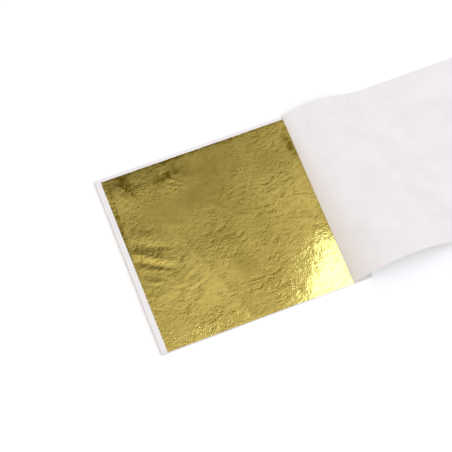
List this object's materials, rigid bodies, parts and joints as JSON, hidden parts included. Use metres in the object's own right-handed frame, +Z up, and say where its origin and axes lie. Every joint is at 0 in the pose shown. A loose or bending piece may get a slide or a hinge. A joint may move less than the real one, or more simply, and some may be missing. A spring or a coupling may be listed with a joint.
{
  "type": "gold leaf booklet",
  "caption": "Open side-stapled booklet of square gold leaves, each lying on its own tissue page, with the front cover turned over.",
  "frame": {"origin": "bottom centre of the open booklet's bounding box, on the table it lies on", "axes": "+X from the pages towards the turned front cover, +Y from the tail of the pages to their head, +Z up"},
  "size_m": [0.1742, 0.0812, 0.0182],
  "materials": {
    "tissue": "matte",
    "gold_leaf": "polished",
    "cover": "satin",
    "staple_wire": "satin"
  },
  "bodies": {
    "binding": {"tissue_margins": "tissue", "front_cover_margin": "cover", "back_cover_margin": "cover", "tail_staple": "staple_wire", "head_staple": "staple_wire"},
    "back_cover": {"back_cover": "cover"},
    "front_cover": {"front_cover": "cover"},
    "tissue_01": {"tissue_01": "tissue"},
    "page_02": {"tissue_02": "tissue", "leaf_01": "gold_leaf"},
    "page_03": {"tissue_03": "tissue", "leaf_02": "gold_leaf"},
    "page_04": {"tissue_04": "tissue", "leaf_03": "gold_leaf"},
    "page_05": {"tissue_05": "tissue", "leaf_04": "gold_leaf"},
    "page_06": {"tissue_06": "tissue", "leaf_05": "gold_leaf"},
    "page_07": {"tissue_07": "tissue", "leaf_06": "gold_leaf"},
    "page_08": {"tissue_08": "tissue", "leaf_07": "gold_leaf"},
    "page_09": {"tissue_09": "tissue", "leaf_08": "gold_leaf"},
    "page_10": {"tissue_10": "tissue", "leaf_09": "gold_leaf"},
    "page_11": {"tissue_11": "tissue", "leaf_10": "gold_leaf"},
    "page_12": {"tissue_12": "tissue", "leaf_11": "gold_leaf"},
    "page_13": {"tissue_13": "tissue", "leaf_12": "gold_leaf"},
    "page_14": {"tissue_14": "tissue", "leaf_13": "gold_leaf"},
    "page_15": {"tissue_15": "tissue", "leaf_14": "gold_leaf"},
    "page_16": {"tissue_16": "tissue", "leaf_15": "gold_leaf"},
    "page_17": {"tissue_17": "tissue", "leaf_16": "gold_leaf"},
    "page_18": {"tissue_18": "tissue", "leaf_17": "gold_leaf"},
    "page_19": {"tissue_19": "tissue", "leaf_18": "gold_leaf"},
    "page_20": {"tissue_20": "tissue", "leaf_19": "gold_leaf"},
    "page_21": {"tissue_21": "tissue", "leaf_20": "gold_leaf"},
    "page_22": {"tissue_22": "tissue", "leaf_21": "gold_leaf"},
    "page_23": {"tissue_23": "tissue", "leaf_22": "gold_leaf"},
    "page_24": {"tissue_24": "tissue", "leaf_23": "gold_leaf"},
    "page_25": {"tissue_25": "tissue", "leaf_24": "gold_leaf"},
    "page_26": {"tissue_26": "tissue", "leaf_25": "gold_leaf"}
  },
  "joints": [
    {"name": "back_cover_turn", "type": "hinge", "parent": "binding", "child": "back_cover", "pos_m": [0.00044, 0, 0.00205], "axis": [0, 1, 0], "range_deg": [0, 20]},
    {"name": "front_cover_turn", "type": "hinge", "parent": "binding", "child": "front_cover", "pos_m": [0.00094, 0, 0.0022], "axis": [0, 1, 0], "range_deg": [-96, 0]},
    {"name": "tissue_01_turn", "type": "hinge", "parent": "front_cover", "child": "tissue_01", "pos_m": [0.00094, 0, 0.0022], "axis": [0, 1, 0], "range_deg": [-20, 0]},
    {"name": "page_02_turn", "type": "hinge", "parent": "page_03", "child": "page_02", "pos_m": [0.00044, 0, 0.00205], "axis": [0, 1, 0], "range_deg": [0, 45]},
    {"name": "page_03_turn", "type": "hinge", "parent": "back_cover", "child": "page_03", "pos_m": [0.00044, 0, 0.00205], "axis": [0, 1, 0], "range_deg": [0, 45]},
    {"name": "page_04_turn", "type": "hinge", "parent": "back_cover", "child": "page_04", "pos_m": [0.00044, 0, 0.00205], "axis": [0, 1, 0], "range_deg": [0, 43.88]},
    {"name": "page_05_turn", "type": "hinge", "parent": "back_cover", "child": "page_05", "pos_m": [0.00044, 0, 0.00205], "axis": [0, 1, 0], "range_deg": [0, 42.75]},
    {"name": "page_06_turn", "type": "hinge", "parent": "back_cover", "child": "page_06", "pos_m": [0.00044, 0, 0.00205], "axis": [0, 1, 0], "range_deg": [0, 41.62]},
    {"name": "page_07_turn", "type": "hinge", "parent": "back_cover", "child": "page_07", "pos_m": [0.00044, 0, 0.00205], "axis": [0, 1, 0], "range_deg": [0, 40.5]},
    {"name": "page_08_turn", "type": "hinge", "parent": "back_cover", "child": "page_08", "pos_m": [0.00044, 0, 0.00205], "axis": [0, 1, 0], "range_deg": [0, 39.38]},
    {"name": "page_09_turn", "type": "hinge", "parent": "back_cover", "child": "page_09", "pos_m": [0.00044, 0, 0.00205], "axis": [0, 1, 0], "range_deg": [0, 38.25]},
    {"name": "page_10_turn", "type": "hinge", "parent": "back_cover", "child": "page_10", "pos_m": [0.00044, 0, 0.00205], "axis": [0, 1, 0], "range_deg": [0, 37.12]},
    {"name": "page_11_turn", "type": "hinge", "parent": "back_cover", "child": "page_11", "pos_m": [0.00044, 0, 0.00205], "axis": [0, 1, 0], "range_deg": [0, 36]},
    {"name": "page_12_turn", "type": "hinge", "parent": "back_cover", "child": "page_12", "pos_m": [0.00044, 0, 0.00205], "axis": [0, 1, 0], "range_deg": [0, 34.88]},
    {"name": "page_13_turn", "type": "hinge", "parent": "back_cover", "child": "page_13", "pos_m": [0.00044, 0, 0.00205], "axis": [0, 1, 0], "range_deg": [0, 33.75]},
    {"name": "page_14_turn", "type": "hinge", "parent": "back_cover", "child": "page_14", "pos_m": [0.00044, 0, 0.00205], "axis": [0, 1, 0], "range_deg": [0, 32.62]},
    {"name": "page_15_turn", "type": "hinge", "parent": "back_cover", "child": "page_15", "pos_m": [0.00044, 0, 0.00205], "axis": [0, 1, 0], "range_deg": [0, 31.5]},
    {"name": "page_16_turn", "type": "hinge", "parent": "back_cover", "child": "page_16", "pos_m": [0.00044, 0, 0.00205], "axis": [0, 1, 0], "range_deg": [0, 30.38]},
    {"name": "page_17_turn", "type": "hinge", "parent": "back_cover", "child": "page_17", "pos_m": [0.00044, 0, 0.00205], "axis": [0, 1, 0], "range_deg": [0, 29.25]},
    {"name": "page_18_turn", "type": "hinge", "parent": "back_cover", "child": "page_18", "pos_m": [0.00044, 0, 0.00205], "axis": [0, 1, 0], "range_deg": [0, 28.12]},
    {"name": "page_19_turn", "type": "hinge", "parent": "back_cover", "child": "page_19", "pos_m": [0.00044, 0, 0.00205], "axis": [0, 1, 0], "range_deg": [0, 27]},
    {"name": "page_20_turn", "type": "hinge", "parent": "back_cover", "child": "page_20", "pos_m": [0.00044, 0, 0.00205], "axis": [0, 1, 0], "range_deg": [0, 25.88]},
    {"name": "page_21_turn", "type": "hinge", "parent": "back_cover", "child": "page_21", "pos_m": [0.00044, 0, 0.00205], "axis": [0, 1, 0], "range_deg": [0, 24.75]},
    {"name": "page_22_turn", "type": "hinge", "parent": "back_cover", "child": "page_22", "pos_m": [0.00044, 0, 0.00205], "axis": [0, 1, 0], "range_deg": [0, 23.62]},
    {"name": "page_23_turn", "type": "hinge", "parent": "back_cover", "child": "page_23", "pos_m": [0.00044, 0, 0.00205], "axis": [0, 1, 0], "range_deg": [0, 22.5]},
    {"name": "page_24_turn", "type": "hinge", "parent": "back_cover", "child": "page_24", "pos_m": [0.00044, 0, 0.00205], "axis": [0, 1, 0], "range_deg": [0, 21.38]},
    {"name": "page_25_turn", "type": "hinge", "parent": "back_cover", "child": "page_25", "pos_m": [0.00044, 0, 0.00205], "axis": [0, 1, 0], "range_deg": [0, 20.25]},
    {"name": "page_26_turn", "type": "hinge", "parent": "back_cover", "child": "page_26", "pos_m": [0.00044, 0, 0.00205], "axis": [0, 1, 0], "range_deg": [0, 19.12]}
  ],
  "couplings": [
    {"joint": "page_04_turn", "follows": "page_03_turn", "ratio": 0.975},
    {"joint": "page_05_turn", "follows": "page_03_turn", "ratio": 0.95},
    {"joint": "page_06_turn", "follows": "page_03_turn", "ratio": 0.925},
    {"joint": "page_07_turn", "follows": "page_03_turn", "ratio": 0.9},
    {"joint": "page_08_turn", "follows": "page_03_turn", "ratio": 0.875},
    {"joint": "page_09_turn", "follows": "page_03_turn", "ratio": 0.85},
    {"joint": "page_10_turn", "follows": "page_03_turn", "ratio": 0.825},
    {"joint": "page_11_turn", "follows": "page_03_turn", "ratio": 0.8},
    {"joint": "page_12_turn", "follows": "page_03_turn", "ratio": 0.775},
    {"joint": "page_13_turn", "follows": "page_03_turn", "ratio": 0.75},
    {"joint": "page_14_turn", "follows": "page_03_turn", "ratio": 0.725},
    {"joint": "page_15_turn", "follows": "page_03_turn", "ratio": 0.7},
    {"joint": "page_16_turn", "follows": "page_03_turn", "ratio": 0.675},
    {"joint": "page_17_turn", "follows": "page_03_turn", "ratio": 0.65},
    {"joint": "page_18_turn", "follows": "page_03_turn", "ratio": 0.625},
    {"joint": "page_19_turn", "follows": "page_03_turn", "ratio": 0.6},
    {"joint": "page_20_turn", "follows": "page_03_turn", "ratio": 0.575},
    {"joint": "page_21_turn", "follows": "page_03_turn", "ratio": 0.55},
    {"joint": "page_22_turn", "follows": "page_03_turn", "ratio": 0.525},
    {"joint": "page_23_turn", "follows": "page_03_turn", "ratio": 0.5},
    {"joint": "page_24_turn", "follows": "page_03_turn", "ratio": 0.475},
    {"joint": "page_25_turn", "follows": "page_03_turn", "ratio": 0.45},
    {"joint": "page_26_turn", "follows": "page_03_turn", "ratio": 0.425}
  ]
}
